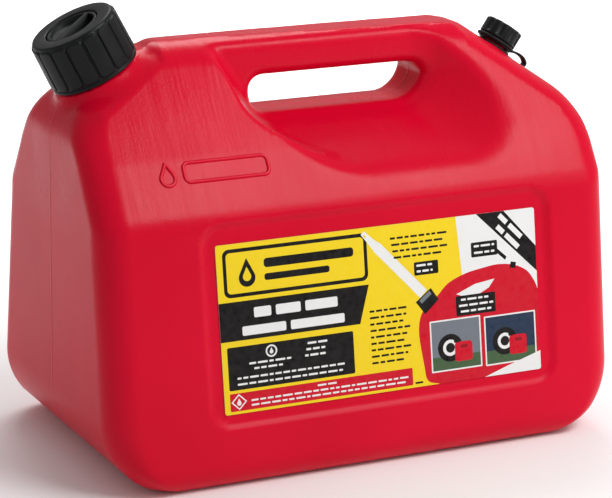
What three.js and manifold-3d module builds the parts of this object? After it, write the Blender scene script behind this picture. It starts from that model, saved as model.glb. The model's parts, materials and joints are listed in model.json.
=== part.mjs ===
// A ten litre plastic fuel can: a hollow blow-moulded body with a carrying handle, a ribbed screw
// ring over a stopper and a stowed pouring spout, a small vent cap on a strap, and two labels.
//
// Millimetres. The origin is the centre of the base, on the floor. +X points to the vent end,
// -X to the spout end, -Y to the front label, and +Z up.

import * as THREE from 'three';
import Module from 'manifold-3d';
import { LoftGeometry } from 'three/addons/geometries/LoftGeometry.js';
import { mergeVertices } from 'three/addons/utils/BufferGeometryUtils.js';

const manifold = await Module();
manifold.setup();

// ---------------------------------------------------------------- driving dimensions

const GAP = 0.3;                        // between pieces that rest on each other
const WALL = 2.5;                       // blow-moulded wall
const BASE_LENGTH = 335;
const BASE_WIDTH = 210;
const PLAN_RADIUS = 19;                 // upright corners, seen from above

// Side outline of the body, seen from the front: [x, z, corner radius], anticlockwise.
const SIDE_OUTLINE = [
  [-BASE_LENGTH / 2, 0, 45],
  [BASE_LENGTH / 2, 0, 45],
  [170, 195.6, 41],
  [99.4, 248.3, 21],
  [-101, 250.9, 20],
  [-164.5, 214, 30],
];

// End outline of the body, seen along X: [y, z, corner radius], anticlockwise.
const SIDE_LEAN = 7.8;                  // front and back walls lean in, degrees
const WALL_TOP = 159;                   // height where the shoulders start
const WALL_TOP_HALF = BASE_WIDTH / 2 - WALL_TOP * Math.tan(THREE.MathUtils.degToRad(SIDE_LEAN));
const GRIP_HALF = 17.5;                 // half of the grip's width
const END_OUTLINE = [
  [-BASE_WIDTH / 2, 0, 15],
  [BASE_WIDTH / 2, 0, 15],
  [WALL_TOP_HALF, WALL_TOP, 30],
  [62.5, 191, 80],
  [GRIP_HALF, 251, 34.9],
  [-GRIP_HALF, 251, 34.9],
  [-62.5, 191, 80],
  [-WALL_TOP_HALF, WALL_TOP, 30],
];

// Hand hole under the grip, and the scoops that open it out to both shoulders.
const GRIP_UNDERSIDE = 227;
const HOLE_FLOOR = 202;
const HOLE_OUTLINE = [                  // [x, z, corner radius]
  [-44, HOLE_FLOOR, 11],
  [71, HOLE_FLOOR, 18],
  [74, GRIP_UNDERSIDE, 8],
  [-44, GRIP_UNDERSIDE, 9],
];
const SCOOP_INNER = {                   // section against the grip
  left: -40, right: 73, floor: HOLE_FLOOR, leftLean: 0.8, leftRadius: 11, rightRadius: 18,
};
const SCOOP_OUTER = {                   // section out past the shoulders
  left: -77, right: 152, floor: 171, leftLean: 0, leftRadius: 103, rightRadius: 72,
};
const SCOOP_OUTER_Y = 80;
const SCOOP_TOP = 320;                  // well above the body, so that the scoop is open upwards
const HOLE_REACH = 60;                  // the hole is cut this far to each side, into both scoops

// Recessed panel and label on the front and back walls, measured up the wall.
const PANEL = { left: -104, right: 124, low: 36, high: 157, radius: 12, depth: 2.2, slope: 8 };
const LABEL = { left: -95.5, right: 115.5, low: 45.4, high: 145.4, radius: 1.5, thickness: 0.4 };

// Spout end: neck, gaskets, spout, stopper and ring, stacked up the neck's own axis.
const NECK = {
  x: -134, z: 232.2, tilt: -27,
  bore: 20.2, root: 22.6, crest: 23.8, boss: 26.4, bossFoot: 33, bossHeight: 2.6, height: 22,
  pitch: 4, turns: 2, threadStart: 7.5, segments: 32, threadSteps: 24,
};
const RING = {
  skirtLow: 3.4, radius: 27.6, topRadius: 26.6, bore: 25.2, top: 34.6, lip: 31.2, opening: 16.8, bevel: 2.4,
  ribs: 16, grooveWidth: 1.5, grooveDepth: 1.1, grooveStop: 3,
};
const SEAL = { thickness: 1.4, inner: 17.4, outer: 22.6 };
const SPOUT = {
  flangeRadius: 23.6, flangeThickness: 2.2, wall: 1.6, rootRadius: 16.5, length: 190,
  bellowsStart: 22, bellowsPitch: 9, bellowsTurns: 5, bellowsDepth: 3, tipRadius: 9.5,
};
const STOPPER = {
  flangeRadius: 23.6, flangeThickness: 2.1, discRadius: 16.2, rimWall: 1.6, belowRing: 0.6, recess: 3.6,
  gripWidth: 2.4, gripTurn: 25,
};

// Vent end: neck, strap, gasket and cap, stacked up the vent's own axis.
const VENT = {
  x: 130.3, z: 225.3, tilt: 35,
  bore: 5, root: 7.4, crest: 8.3, boss: 12.6, bossFoot: 16, bossHeight: 0.9, height: 13.2,
  pitch: 2.2, turns: 2, threadStart: 6.5, segments: 24, threadSteps: 16,
};
const VENT_CAP = {
  low: 4, top: 17.5, radius: 12.3, skirt: 11.4, grip: 7.2, bore: 9.6, lid: 2.2, bevel: 1.2,
  ribs: 10, grooveWidth: 1.6, grooveDepth: 0.8,
};
const CAP_THREAD_TURNS = 1.5;
const THREAD_CLEARANCE = 0.4;           // from a neck's thread crest to the crest of its ring or cap
const VENT_SEAL = { radius: 8.6, thickness: 1.5 };
const STRAP = {
  low: 1.3, lowInner: 8.7, lowOuter: 11.4, high: 4.9, highInner: 11.7, highOuter: 13, ringHeight: 1.7,
  width: 5.4, band: 1.5,
};
// Centre line of the strap in the vent's frame, [out, up]: from the cap's ring out, down and back
// to the neck's ring.
const STRAP_ROUTE = [
  [12.4, 5.8], [17.5, 7.2], [22.5, 7], [26, 4.9], [25.2, 2.4], [20, 1.7], [14, 1.9], [10.4, 2.1],
];

// ---------------------------------------------------------------- geometry helpers

/** Turns a closed three.js geometry into a solid that can be joined and cut. */
function toSolid(geometry) {
  const plain = new THREE.BufferGeometry();
  plain.setAttribute('position', geometry.attributes.position);
  plain.setIndex(geometry.index);
  const merged = mergeVertices(plain, 1e-4);
  return new manifold.Manifold(new manifold.Mesh({
    numProp: 3,
    vertProperties: new Float32Array(merged.attributes.position.array),
    triVerts: new Uint32Array(merged.index.array),
  }));
}

/** Turns a solid back into a three.js geometry. */
function toGeometry(solid) {
  const mesh = solid.getMesh();
  const geometry = new THREE.BufferGeometry();
  geometry.setAttribute('position', new THREE.BufferAttribute(new Float32Array(mesh.vertProperties), 3));
  geometry.setIndex(new THREE.BufferAttribute(new Uint32Array(mesh.triVerts), 1));
  geometry.computeVertexNormals();
  return geometry;
}

/** Moves every side of an anticlockwise outline of [x, y, radius] corners inwards by a distance. */
function insetCorners(corners, distance) {
  const count = corners.length;
  const sides = corners.map(([x, y], i) => {
    const [nextX, nextY] = corners[(i + 1) % count];
    const along = new THREE.Vector2(nextX - x, nextY - y).normalize();
    const start = new THREE.Vector2(x - along.y * distance, y + along.x * distance);
    return { start, along };
  });
  return corners.map(([, , radius], i) => {
    const before = sides[(i + count - 1) % count];
    const after = sides[i];
    const step = after.start.clone().sub(before.start).cross(after.along) / before.along.cross(after.along);
    const corner = before.start.clone().addScaledVector(before.along, step);
    return [corner.x, corner.y, Math.max(radius - distance, 1)];
  });
}

/** Rounds an anticlockwise outline of [x, y, radius] corners, with a fixed number of points a corner. */
function roundCorners(corners, pointsPerCorner) {
  const count = corners.length;
  return corners.flatMap(([x, y, radius], i) => {
    const corner = new THREE.Vector2(x, y);
    const back = new THREE.Vector2(...corners[(i + count - 1) % count]).sub(corner).normalize();
    const ahead = new THREE.Vector2(...corners[(i + 1) % count]).sub(corner).normalize();
    const half = Math.acos(THREE.MathUtils.clamp(back.dot(ahead), -1, 1)) / 2;
    const middle = back.clone().add(ahead).normalize();
    const centre = corner.clone().addScaledVector(middle, radius / Math.sin(half));
    const first = corner.clone().addScaledVector(back, radius / Math.tan(half)).sub(centre);
    const sweep = Math.PI - 2 * half;
    return Array.from({ length: pointsPerCorner }, (_, step) => {
      const turn = sweep * step / (pointsPerCorner - 1);
      return first.clone().rotateAround(new THREE.Vector2(), turn).add(centre);
    });
  });
}

/** Lowest and highest x where a closed outline crosses a height. */
function spanAt(outline, height) {
  const crossings = [];
  outline.forEach((point, i) => {
    const next = outline[(i + 1) % outline.length];
    if ((point.y - height) * (next.y - height) > 0 || point.y === next.y) return;
    const share = (height - point.y) / (next.y - point.y);
    crossings.push(point.x + (next.x - point.x) * share);
  });
  return [Math.min(...crossings), Math.max(...crossings)];
}

/** A solid skinned over closed sections. */
function loft(sections) {
  return new LoftGeometry(sections, { closed: true, capStart: true, capEnd: true });
}

/** A solid of revolution about Z, from a closed profile of [radius, z] points. */
function lathe(profile, segments) {
  const points = [...profile, profile[0]].map(([radius, z]) => new THREE.Vector2(radius, z));
  return new THREE.LatheGeometry(points, segments).rotateX(Math.PI / 2);
}

/** A tube about Z. */
function tube(inner, outer, low, high, segments) {
  return lathe([[inner, low], [outer, low], [outer, high], [inner, high]], segments);
}

/** A disc or rod about Z. */
function rod(radius, low, high, segments) {
  return new THREE.CylinderGeometry(radius, radius, high - low, segments)
    .rotateX(Math.PI / 2)
    .translate(0, 0, (low + high) / 2);
}

/** A helical ridge about Z, which stands out by depth from a wall, or inwards where depth is negative. */
function threadRidge(wallRadius, depth, turns, start, { pitch, threadSteps: stepsPerTurn }) {
  const steps = Math.round(turns * stepsPerTurn);
  const rootHalf = pitch * 0.32;
  const crestHalf = pitch * 0.14;
  const sunkDepth = 0.5;
  const endRise = 0.15;                 // share of the depth left at each end, so that no section is flat
  const fadeSteps = 4;
  const sections = [];
  for (let i = 0; i <= steps; i += 1) {
    const angle = i / stepsPerTurn * Math.PI * 2;
    const z = start + pitch * i / stepsPerTurn;
    const rise = depth * Math.min(1, endRise + Math.min(i, steps - i) / fadeSteps);
    const sunk = wallRadius - Math.sign(depth) * sunkDepth;
    const crest = wallRadius + rise;
    const ring = [[sunk, -rootHalf], [sunk, rootHalf], [crest, crestHalf], [crest, -crestHalf]];
    if (depth < 0) ring.reverse();
    sections.push(ring.map(([radius, up]) => new THREE.Vector3(
      Math.cos(angle) * radius, Math.sin(angle) * radius, z + up)));
  }
  return loft(sections);
}

/** Frame of a neck: its origin on the body, with Z along the neck's axis. */
function neckMatrix({ x, z, tilt }) {
  return new THREE.Matrix4()
    .makeRotationY(THREE.MathUtils.degToRad(tilt))
    .setPosition(x, 0, z);
}

/** Frame of a side wall: X along it, Y up it, Z out of it. side is -1 for the front, 1 for the back. */
function wallMatrix(side) {
  const lean = new THREE.Matrix4().makeRotationX(THREE.MathUtils.degToRad(90 - SIDE_LEAN));
  const stand = new THREE.Matrix4().makeTranslation(0, -BASE_WIDTH / 2, 0);
  const turn = new THREE.Matrix4().makeRotationZ(side < 0 ? 0 : Math.PI);
  return turn.multiply(stand).multiply(lean);
}

// ---------------------------------------------------------------- the body

/** The body's form with its sides moved inwards by inset, from level sections at shares of its height. */
function bodyForm(inset, pointsPerCorner) {
  const side = roundCorners(insetCorners(SIDE_OUTLINE, inset), 12);
  const end = roundCorners(insetCorners(END_OUTLINE, inset), 8);
  const high = Math.max(...side.map((point) => point.y)) - 0.4;
  const shares = [0, 0.003, 0.012, 0.03, 0.06, 0.1, 0.16, 0.24, 0.55, 0.6, 0.635, 0.67, 0.72, 0.77, 0.81,
    0.845, 0.88, 0.91, 0.935, 0.955, 0.972, 0.985, 0.993, 0.997, 1];
  const sections = shares.map((share) => {
    const level = inset + (high - inset) * share;
    const [left, right] = spanAt(side, Math.max(level, inset + 0.02));
    const [, half] = spanAt(end, Math.max(level, inset + 0.02));
    const radius = Math.min(PLAN_RADIUS - inset, half * 0.96, (right - left) * 0.45);
    const corners = [[left, -half], [right, -half], [right, half], [left, half]]
      .map(([x, y]) => [x, y, radius]);
    return roundCorners(corners, pointsPerCorner).map((point) => new THREE.Vector3(point.x, point.y, level));
  });
  return toSolid(loft(sections));
}

/** The scoop's section at a distance from the middle plane, grown outwards by a margin. */
function scoopSection(y, side, grow) {
  const reach = SCOOP_OUTER_Y - GRIP_HALF;
  const change = (name) => (SCOOP_OUTER[name] - SCOOP_INNER[name]) / reach;
  const between = (name) => SCOOP_INNER[name] + change(name) * (y - GRIP_HALF);
  const steepness = (name) => Math.hypot(1, change(name));
  const floor = between('floor') - grow * steepness('floor');
  const left = between('left') - grow * Math.hypot(1, between('leftLean')) * steepness('left');
  const right = between('right') + grow * steepness('right');
  const rise = SCOOP_TOP - floor;
  const corners = [
    [left, floor, between('leftRadius') + grow],
    [right, floor, between('rightRadius') + grow],
    [right, SCOOP_TOP, 1],
    [left - between('leftLean') * rise, SCOOP_TOP, 1],
  ];
  return roundCorners(corners, 8).map((point) => new THREE.Vector3(point.x, side * y, point.y));
}

/** The air of the hand hole and both scoops, grown into the body by a margin. */
function handSpace(grow) {
  const hole = roundCorners(insetCorners(HOLE_OUTLINE, -grow), 8);
  const through = [HOLE_REACH, -HOLE_REACH]
    .map((y) => hole.map((point) => new THREE.Vector3(point.x, y, point.y)));
  const near = [GRIP_HALF - grow, SCOOP_OUTER_Y].map((y) => scoopSection(y, -1, grow));
  const far = [SCOOP_OUTER_Y, GRIP_HALF - grow].map((y) => scoopSection(y, 1, grow));
  return toSolid(loft(through)).add(toSolid(loft(near))).add(toSolid(loft(far)));
}

/** The air of the recessed panel on one wall, grown into the body by a margin. */
function panelSpace(side, grow) {
  const clearOut = -6;                  // the tool's outer end, clear of the wall
  const sections = [PANEL.depth + grow, clearOut].map((depth) => {
    const shrink = (depth - grow) / PANEL.depth * PANEL.slope - PANEL.slope / 2;
    const corners = [
      [PANEL.left + shrink, PANEL.low + shrink, PANEL.radius],
      [PANEL.right - shrink, PANEL.low + shrink, PANEL.radius],
      [PANEL.right - shrink, PANEL.high - shrink, PANEL.radius],
      [PANEL.left + shrink, PANEL.high - shrink, PANEL.radius],
    ];
    return roundCorners(corners, 6).map((point) => new THREE.Vector3(point.x, point.y, -depth));
  });
  return toSolid(loft(sections).applyMatrix4(wallMatrix(side)));
}

/** Adds a threaded neck to the body and opens it into the inside. */
function addNeck(body, neck) {
  const place = neckMatrix(neck);
  const sunk = 9;                       // the boss starts this far inside the body
  const boreReach = 6;                  // and the bore this much deeper
  const { boss, bossFoot, bossHeight, root, height, segments } = neck;
  const outer = lathe([[0, -sunk], [bossFoot, -sunk], [boss, bossHeight], [root, bossHeight], [root, height],
    [0, height]], segments);
  const ridge = threadRidge(neck.root, neck.crest - neck.root, neck.turns, neck.threadStart, neck);
  const bore = rod(neck.bore, -sunk - boreReach, neck.height + 1, segments);
  return body
    .add(toSolid(outer.applyMatrix4(place)))
    .add(toSolid(ridge.applyMatrix4(place)))
    .subtract(toSolid(bore.applyMatrix4(place)));
}

function canBody() {
  let outer = bodyForm(0, 7).subtract(handSpace(0));
  let inside = bodyForm(WALL, 5).subtract(handSpace(WALL));
  for (const side of [-1, 1]) {
    outer = outer.subtract(panelSpace(side, 0));
    inside = inside.subtract(panelSpace(side, WALL));
  }
  const shell = outer.subtract(inside);
  return toGeometry(addNeck(addNeck(shell, NECK), VENT));
}

// ---------------------------------------------------------------- the spout end

const SEAL_LOW = NECK.height + GAP;
const FLANGE_LOW = SEAL_LOW + SEAL.thickness + GAP;
const FLANGE_TOP = FLANGE_LOW + SPOUT.flangeThickness;
const STOPPER_SEAL_LOW = FLANGE_TOP + GAP;
const STOPPER_LOW = STOPPER_SEAL_LOW + SEAL.thickness + GAP;
const STOPPER_TOP = STOPPER_LOW + STOPPER.flangeThickness;

function spoutRing() {
  const { skirtLow, radius, topRadius, bore, top, lip, opening, bevel, ribs } = RING;
  const { grooveWidth, grooveDepth, grooveStop } = RING;
  const shell = toSolid(lathe([
    [bore, skirtLow], [radius, skirtLow], [topRadius, top - bevel], [topRadius - bevel, top],
    [opening, top], [opening, lip], [bore, lip],
  ], 40));
  const depth = NECK.crest + THREAD_CLEARANCE - bore;
  const ridge = toSolid(threadRidge(bore, depth, NECK.turns, NECK.threadStart + 1, NECK));
  let ring = shell.add(ridge);
  for (let i = 0; i < ribs; i += 1) {
    const groove = new THREE.BoxGeometry(2 * grooveDepth, grooveWidth, top - skirtLow)
      .translate(radius, 0, (top + skirtLow) / 2 + grooveStop)
      .rotateZ((i + 0.5) / ribs * Math.PI * 2);
    ring = ring.subtract(toSolid(groove));
  }
  return toGeometry(ring);
}

function stopperDisc() {
  const { flangeRadius, discRadius, rimWall, belowRing, recess, gripWidth, gripTurn } = STOPPER;
  const rim = RING.top - belowRing;
  const well = discRadius - rimWall;
  const cup = toSolid(lathe([
    [0, STOPPER_LOW], [flangeRadius, STOPPER_LOW], [flangeRadius, STOPPER_TOP], [discRadius, STOPPER_TOP],
    [discRadius, rim], [well, rim], [well, rim - recess], [0, rim - recess],
  ], 32));
  const grip = new THREE.BoxGeometry(2 * well + rimWall, gripWidth, rim - STOPPER_TOP)
    .translate(0, 0, (rim + STOPPER_TOP) / 2)
    .rotateZ(THREE.MathUtils.degToRad(gripTurn));
  return toGeometry(cup.add(toSolid(grip)));
}

function pourSpout() {
  const { flangeRadius, flangeThickness, wall, rootRadius, length, tipRadius } = SPOUT;
  const { bellowsStart, bellowsPitch, bellowsTurns, bellowsDepth } = SPOUT;
  const outside = [[flangeRadius, FLANGE_TOP], [flangeRadius, FLANGE_LOW], [rootRadius, FLANGE_LOW]];
  for (let turn = 0; turn < bellowsTurns; turn += 1) {
    const z = FLANGE_LOW - bellowsStart - turn * bellowsPitch;
    outside.push([rootRadius, z], [rootRadius - bellowsDepth, z - bellowsPitch / 2]);
  }
  const bellowsEnd = FLANGE_LOW - bellowsStart - bellowsTurns * bellowsPitch;
  outside.push([rootRadius - 0.5, bellowsEnd], [rootRadius - 1, bellowsEnd - 10]);
  outside.push([tipRadius, FLANGE_LOW - length]);
  const inside = outside.slice(2).reverse().map(([radius, z]) => [radius - wall, z]);
  inside[inside.length - 1][1] = FLANGE_TOP;
  return lathe([...outside, ...inside].reverse(), 20);
}

// ---------------------------------------------------------------- the vent end

function ventCap() {
  const { low, top, radius, skirt, grip, bore, lid, bevel, ribs, grooveWidth, grooveDepth } = VENT_CAP;
  const cup = toSolid(lathe([
    [bore, low], [skirt, low], [skirt, grip], [radius, grip], [radius, top - bevel], [radius - bevel, top],
    [0, top], [0, top - lid], [bore, top - lid],
  ], 32));
  const depth = VENT.crest + THREAD_CLEARANCE - bore;
  const ridge = toSolid(threadRidge(bore, depth, CAP_THREAD_TURNS, VENT.threadStart + 1, VENT));
  let cap = cup.add(ridge);
  for (let i = 0; i < ribs; i += 1) {
    const groove = new THREE.BoxGeometry(2 * grooveDepth, grooveWidth, top - grip + 2)
      .translate(radius, 0, (top + grip) / 2)
      .rotateZ((i + 0.5) / ribs * Math.PI * 2);
    cap = cap.subtract(toSolid(groove));
  }
  return toGeometry(cap);
}

function ventTether() {
  const { low, lowOuter, lowInner, high, highInner, highOuter, ringHeight, width, band } = STRAP;
  const neckRing = toSolid(tube(lowInner, lowOuter, low, low + ringHeight, 28));
  const capRing = toSolid(tube(highInner, highOuter, high, high + ringHeight, 28));
  const curve = new THREE.CatmullRomCurve3(STRAP_ROUTE.map(([x, z]) => new THREE.Vector3(x, 0, z)));
  const steps = 24;
  const sections = curve.getSpacedPoints(steps).map((point, i) => {
    const along = curve.getTangentAt(i / steps);
    const across = new THREE.Vector3(along.z, 0, -along.x).multiplyScalar(band / 2);
    return [[-1, 1], [1, 1], [1, -1], [-1, -1]].map(([y, up]) => new THREE.Vector3(
      point.x + across.x * up, y * width / 2, point.z + across.z * up));
  });
  return toGeometry(neckRing.add(capRing).add(toSolid(loft(sections))));
}

// ---------------------------------------------------------------- labels

function label() {
  const { left, right, low, high, radius, thickness } = LABEL;
  const corners = [[left, low, radius], [right, low, radius], [right, high, radius], [left, high, radius]];
  const floor = -PANEL.depth + GAP;
  return loft([floor, floor + thickness].map((z) => roundCorners(corners, 4)
    .map((point) => new THREE.Vector3(point.x, point.y, z))));
}

// ---------------------------------------------------------------- assembly

const can = new THREE.Group();

function add(parent, name, geometry, { color, roughness, metalness = 0 }) {
  const mesh = new THREE.Mesh(geometry, new THREE.MeshStandardMaterial({ color, roughness, metalness }));
  mesh.name = name;
  parent.add(mesh);
}

function framed(matrix) {
  const group = new THREE.Group();
  group.applyMatrix4(matrix);
  can.add(group);
  return group;
}

const RED = { color: 0xd70026, roughness: 0.35 };
const BLACK = { color: 0x1e2022, roughness: 0.45 };
const RUBBER = { color: 0x2b2b2b, roughness: 0.8 };
const NATURAL = { color: 0xe8e6dc, roughness: 0.4 };
const PRINT = { color: 0xf2d61c, roughness: 0.3 };

add(can, 'can_body', canBody(), RED);

const spoutEnd = framed(neckMatrix(NECK));
add(spoutEnd, 'spout_seal', tube(SEAL.inner, SEAL.outer, SEAL_LOW, SEAL_LOW + SEAL.thickness, 32), RUBBER);
add(spoutEnd, 'pour_spout', pourSpout(), NATURAL);
add(spoutEnd, 'stopper_seal',
  tube(SEAL.inner, SEAL.outer, STOPPER_SEAL_LOW, STOPPER_SEAL_LOW + SEAL.thickness, 32), RUBBER);
add(spoutEnd, 'stopper_disc', stopperDisc(), BLACK);
add(spoutEnd, 'spout_ring', spoutRing(), BLACK);

const ventEnd = framed(neckMatrix(VENT));
add(ventEnd, 'vent_seal',
  rod(VENT_SEAL.radius, VENT.height + GAP, VENT.height + GAP + VENT_SEAL.thickness, 28), RUBBER);
add(ventEnd, 'vent_cap', ventCap(), BLACK);
add(ventEnd, 'vent_tether', ventTether(), BLACK);

add(framed(wallMatrix(-1)), 'front_label', label(), PRINT);
add(framed(wallMatrix(1)), 'back_label', label(), PRINT);

export default can;
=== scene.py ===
"""A ten litre plastic fuel can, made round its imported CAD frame.

Lengths are millimetres until a mesh is made, which turns them into metres. As in the frame, the origin
is the centre of the can's base, +X points to the vent end, -Y to the front label, and +Z up.
"""

import json
import math

import bpy
import bmesh
import numpy as np
from mathutils import Euler, Matrix, Vector
from mathutils.geometry import delaunay_2d_cdt


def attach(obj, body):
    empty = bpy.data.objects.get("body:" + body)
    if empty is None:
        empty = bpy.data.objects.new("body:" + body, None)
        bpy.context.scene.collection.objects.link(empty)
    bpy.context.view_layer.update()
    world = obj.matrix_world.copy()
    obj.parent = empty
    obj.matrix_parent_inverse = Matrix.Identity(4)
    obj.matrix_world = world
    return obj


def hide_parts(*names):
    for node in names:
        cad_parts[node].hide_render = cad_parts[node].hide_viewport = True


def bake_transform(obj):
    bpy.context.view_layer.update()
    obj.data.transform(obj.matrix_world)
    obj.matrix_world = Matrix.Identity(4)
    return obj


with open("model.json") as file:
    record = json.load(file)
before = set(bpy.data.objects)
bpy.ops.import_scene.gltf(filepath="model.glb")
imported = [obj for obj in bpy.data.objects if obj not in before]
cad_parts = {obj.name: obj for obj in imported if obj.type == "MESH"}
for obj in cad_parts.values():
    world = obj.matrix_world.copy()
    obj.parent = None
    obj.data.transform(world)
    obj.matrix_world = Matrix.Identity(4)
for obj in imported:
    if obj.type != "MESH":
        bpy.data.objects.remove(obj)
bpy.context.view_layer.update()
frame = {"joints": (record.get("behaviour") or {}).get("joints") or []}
MM = 0.001

# ------------------------ sizes of the can's body

WALL = 2.5
PLAN_RADIUS = 19                       # upright corners, seen from above
HALF_LENGTH = 167.5
HALF_WIDTH = 105
SIDE_LEAN = math.radians(7.8)          # front and back walls lean in
WALL_TOP = 159                         # height where the shoulders start
WALL_TOP_HALF = HALF_WIDTH - WALL_TOP * math.tan(SIDE_LEAN)

# Outlines are anticlockwise lists of (across, up, corner radius).
SIDE_OUTLINE = [
    (-HALF_LENGTH, 0, 45), (HALF_LENGTH, 0, 45), (170, 195.6, 41),
    (99.4, 248.3, 21), (-101, 250.9, 20), (-164.5, 214, 30),
]
END_OUTLINE = [
    (-HALF_WIDTH, 0, 15), (HALF_WIDTH, 0, 15), (WALL_TOP_HALF, WALL_TOP, 30), (62.5, 191, 80),
    (17.5, 251, 34.9), (-17.5, 251, 34.9), (-62.5, 191, 80), (-WALL_TOP_HALF, WALL_TOP, 30),
]

GRIP_HALF = 17.5
HOLE_FLOOR = 203.3
HOLE_CEILING = 225.7
HOLE_OUTLINE = [
    (-42.5, HOLE_FLOOR, 11), (72.5, HOLE_FLOOR, 18), (72.5, HOLE_CEILING, 8), (-42.5, HOLE_CEILING, 9),
]
HOLE_REACH = 30                        # the hole opens into the scoops well before this
# The scoop's section beside the grip, and at SCOOP_OUTER_Y from the middle plane:
# left, right, floor, lean of its left wall, left and right radius.
SCOOP_INNER = np.array([-38.5, 71.5, HOLE_FLOOR, 0.75, 11, 18])
SCOOP_OUTER = np.array([-72.5, 163, 171.6, -0.45, 93, 82])
SCOOP_OUTER_Y = 80
SCOOP_FILLET = 6                       # where a scoop's end meets the grip's side
GRIP_EDGE = 8                          # blend that rounds the grip's lower edges and the hole's floor
CREASE, INNER_CREASE = 4.5, 4          # blends along the scoop's rim, outside and in the hollow

PANEL_LEFT, PANEL_RIGHT, PANEL_LOW, PANEL_HIGH = -104, 124, 38.5, 157   # measured up the wall
PANEL_RADIUS, PANEL_DEPTH, PANEL_SLOPE = 13, 2.2, 5.5

NECK_BLEND, VENT_BLEND = 6, 5          # where the bosses meet the body
OUTER_CELL, INNER_CELL = 2.8, 7        # mesh size outside and in the hollow
GRID_LOW, GRID_HIGH = np.array([-176.0, -110, -6]), np.array([180.0, 110, 262])   # holds the whole body

EMBLEM_PLACE = (-87, -68, 185.5)       # on the near shoulder
EMBLEM_UP = (0, 0.53, 0.848)           # up the shoulder's slope
EMBLEM_HALF, EMBLEM_RISE = 1.3, 1.0    # half width and height of its raised lines

# ------------------------ sizes of the caps and the spout

NECK = {"bore": 20.2, "root": 22.6, "crest": 23.8, "height": 22, "pitch": 4, "turns": 2, "start": 7.5,
        "boss": 26.4, "boss_foot": 33, "boss_height": 2.6}
VENT = {"bore": 5, "root": 7.4, "crest": 8.3, "height": 13.2, "pitch": 2.2, "turns": 2, "start": 6.5,
        "boss": 12.6, "boss_foot": 16, "boss_height": 0.9}
BOSS_SUNK = 9                          # a boss starts this far under the body's surface
BOSS_FOOT_RADIUS = 12

RING_LOW, RING_TOP, RING_BORE, RING_LIP, RING_OPENING = 3.4, 34.6, 25.2, 31.2, 16.8
RING_RIBS = 16
FLANGE_LOW, FLANGE_TOP, FLANGE_RADIUS = 24.0, 26.2, 23.6
LOWER_SEAL, UPPER_SEAL = 22.3, 26.5    # undersides of the two gaskets
SEAL_BORE, SEAL_RADIUS, SEAL_THICKNESS = 17.4, 22.6, 1.4
STOPPER_LOW, STOPPER_TOP = 28.2, 30.3
STOPPER_RIM = RING_TOP - 0.6
GRIP_TURN = math.radians(25)           # the stopper's grip bar, from the neck's own X
VENT_LOW, VENT_GRIP, VENT_TOP, VENT_RADIUS = 4, 7.2, 17.5, 12.3


# ------------------------ distances

class Outline:
    """A convex outline with round corners, which gives signed distances."""

    def __init__(self, corners):
        points = [Vector(corner[:2]) for corner in corners]
        count = len(points)
        along = [(points[(i + 1) % count] - points[i]).normalized() for i in range(count)]
        self.edges = []
        for point, way in zip(points, along):
            outward = Vector((way.y, -way.x))
            self.edges.append((outward, outward.dot(point)))
        self.arcs = []
        for i, corner in enumerate(corners):
            before, after, radius = along[i - 1], along[i], corner[2]
            inward = (after - before).normalized()
            half = (-before).angle(after) / 2
            centre = points[i] + inward * radius / math.sin(half)
            self.arcs.append((centre, radius, before, after))

    def measure(self, u, v):
        """Distance outside the outline at (u, v), and the direction in which it grows."""
        best = np.full(np.shape(u), -1e9)
        grow_u = np.zeros_like(best)
        grow_v = np.zeros_like(best)
        for outward, offset in self.edges:
            reach = outward.x * u + outward.y * v - offset
            nearer = reach > best
            best = np.where(nearer, reach, best)
            grow_u = np.where(nearer, outward.x, grow_u)
            grow_v = np.where(nearer, outward.y, grow_v)
        for centre, radius, before, after in self.arcs:
            du, dv = u - centre.x, v - centre.y
            length = np.hypot(du, dv) + 1e-9
            past = (du * before.x + dv * before.y > 0) & (du * after.x + dv * after.y < 0)
            nearer = past & (length - radius > best)
            best = np.where(nearer, length - radius, best)
            grow_u = np.where(nearer, du / length, grow_u)
            grow_v = np.where(nearer, dv / length, grow_v)
        return best, grow_u, grow_v

    def half_widths(self, heights):
        """Half of the outline's width at each height, found by halving. The outline is symmetric."""
        low = np.zeros_like(heights)
        high = np.full_like(heights, 200.0)
        for _ in range(24):
            middle = (low + high) / 2
            outside = self.measure(middle, heights)[0] > 0
            high = np.where(outside, middle, high)
            low = np.where(outside, low, middle)
        return low


def round_join(a, b, radius, cosine=0.0):
    """The larger of two distances, with a round corner. cosine is that of the angle between them."""
    u, v = a + radius, b + radius
    corner = (u > v * cosine) & (v > u * cosine)
    squared = np.maximum(u * u + v * v - 2 * u * v * cosine, 0) / (1 - cosine ** 2)
    return np.where(corner, np.sqrt(squared) - radius, np.maximum(a, b))


def smooth_max(a, b, blend):
    """The larger of two distances, with a soft change from one to the other."""
    near = np.maximum(blend - np.abs(a - b), 0)
    return np.maximum(a, b) + near * near / (4 * blend)


def smooth_step(share):
    """A share from 0 to 1 that starts and ends gently."""
    share = np.clip(share, 0, 1)
    return share * share * (3 - 2 * share)


def rectangle(left, low, right, high, radius):
    """The four corners of a rectangle, for an outline."""
    return [(left, low, radius), (right, low, radius), (right, high, radius), (left, high, radius)]


SIDE = Outline(SIDE_OUTLINE)
END = Outline(END_OUTLINE)
HOLE = Outline(HOLE_OUTLINE)
PANEL = Outline(rectangle(PANEL_LEFT, PANEL_LOW, PANEL_RIGHT, PANEL_HIGH, PANEL_RADIUS))
LEVELS = np.linspace(0, 251, 503)      # heights up to the top of the grip
LEVEL_HALVES = END.half_widths(LEVELS)


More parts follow.
